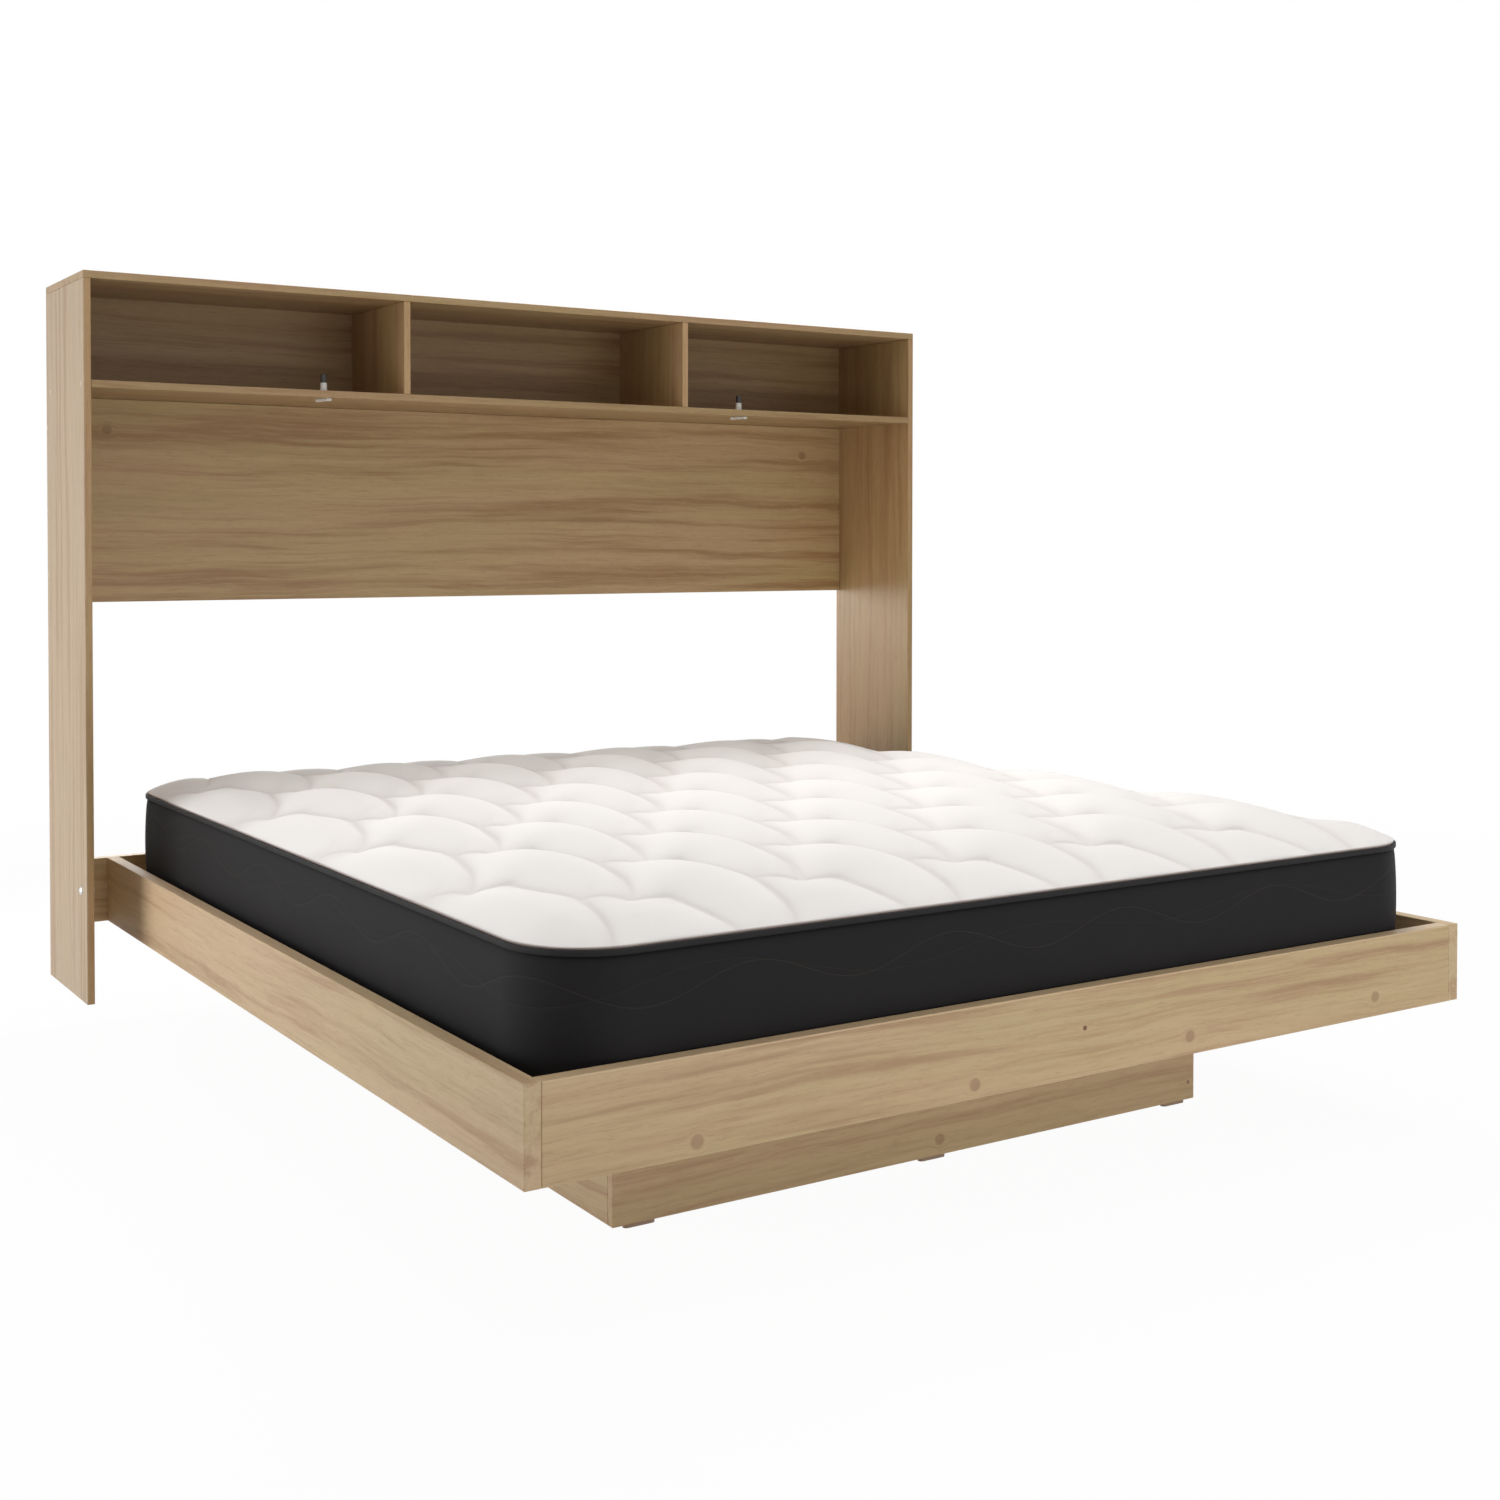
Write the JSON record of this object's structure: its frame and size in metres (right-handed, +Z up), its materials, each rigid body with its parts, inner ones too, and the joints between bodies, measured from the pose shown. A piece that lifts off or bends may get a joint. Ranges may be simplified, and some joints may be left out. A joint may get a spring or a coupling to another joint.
{
  "type": "platform bed",
  "caption": "Platform bed with a shelved bridge headboard, overhanging rails on a recessed plinth, a slatted base and a quilted mattress.",
  "frame": {"origin": "on the floor, in the middle of the bed's footprint", "axes": "+Z up, +Y towards the head of the bed, +X to the right seen from the foot"},
  "size_m": [2.1086, 2.07, 1.59],
  "materials": {
    "light_oak_laminate": "matt woodgrain",
    "pale_pine": "planed, untreated",
    "zinc_plated_steel": "bright zinc plate",
    "white_plastic": "satin",
    "black_plastic": "matt",
    "white_quilted_knit": "soft knitted ticking, quilted",
    "charcoal_border_fabric": "matt woven border fabric"
  },
  "bodies": {
    "bedstead": {"centre_beam": "pale_pine", "corner_block_left": "pale_pine", "corner_block_right": "pale_pine", "cross_bearer_1": "pale_pine", "cross_bearer_2": "pale_pine", "cross_bearer_3": "pale_pine", "cross_bearer_4": "pale_pine", "foot_rail": "light_oak_laminate", "head_rail": "light_oak_laminate", "headboard_side_panel_left": "light_oak_laminate", "headboard_side_panel_right": "light_oak_laminate", "headboard_top_board": "light_oak_laminate", "lower_back_panel": "light_oak_laminate", "niche_back_panel": "light_oak_laminate", "niche_divider_left": "light_oak_laminate", "niche_divider_right": "light_oak_laminate", "niche_shelf": "light_oak_laminate", "panel_bolt_left": "zinc_plated_steel", "panel_bolt_right": "zinc_plated_steel", "panel_brace_left": "zinc_plated_steel", "panel_brace_right": "zinc_plated_steel", "plinth_centre_board": "pale_pine", "plinth_foot_board": "light_oak_laminate", "plinth_glide_foot_left": "black_plastic", "plinth_glide_foot_middle": "black_plastic", "plinth_glide_foot_right": "black_plastic", "plinth_glide_head_left": "black_plastic", "plinth_glide_head_middle": "black_plastic", "plinth_glide_head_right": "black_plastic", "plinth_head_board": "light_oak_laminate", "plinth_side_board_left": "light_oak_laminate", "plinth_side_board_right": "light_oak_laminate", "side_rail_left": "light_oak_laminate", "side_rail_right": "light_oak_laminate", "slat_01": "pale_pine", "slat_02": "pale_pine", "slat_03": "pale_pine", "slat_04": "pale_pine", "slat_05": "pale_pine", "slat_06": "pale_pine", "slat_07": "pale_pine", "slat_08": "pale_pine", "slat_09": "pale_pine", "slat_10": "pale_pine", "slat_11": "pale_pine", "slat_12": "pale_pine", "slat_ledger_left": "pale_pine", "slat_ledger_right": "pale_pine", "switch_body_left": "white_plastic", "switch_body_right": "white_plastic", "switch_plate_left": "white_plastic", "switch_plate_right": "white_plastic"},
    "mattress": {"mattress_border": "charcoal_border_fabric", "mattress_lower_piping": "charcoal_border_fabric", "mattress_quilted_top": "white_quilted_knit", "mattress_top_piping": "charcoal_border_fabric"},
    "switch_button_left": {"switch_button_left": "black_plastic"},
    "switch_button_right": {"switch_button_right": "black_plastic"}
  },
  "joints": [
    {"name": "mattress_lift", "type": "slide", "parent": "bedstead", "child": "mattress", "axis": [0, 0, 1], "range_m": [0, 0.2]},
    {"name": "switch_press_left", "type": "slide", "parent": "bedstead", "child": "switch_button_left", "axis": [0, 0, -1], "range_m": [0, 0.002], "stiffness_N_per_m": 400, "springref_m": -0.001},
    {"name": "switch_press_right", "type": "slide", "parent": "bedstead", "child": "switch_button_right", "axis": [0, 0, -1], "range_m": [0, 0.002], "stiffness_N_per_m": 400, "springref_m": -0.001}
  ]
}
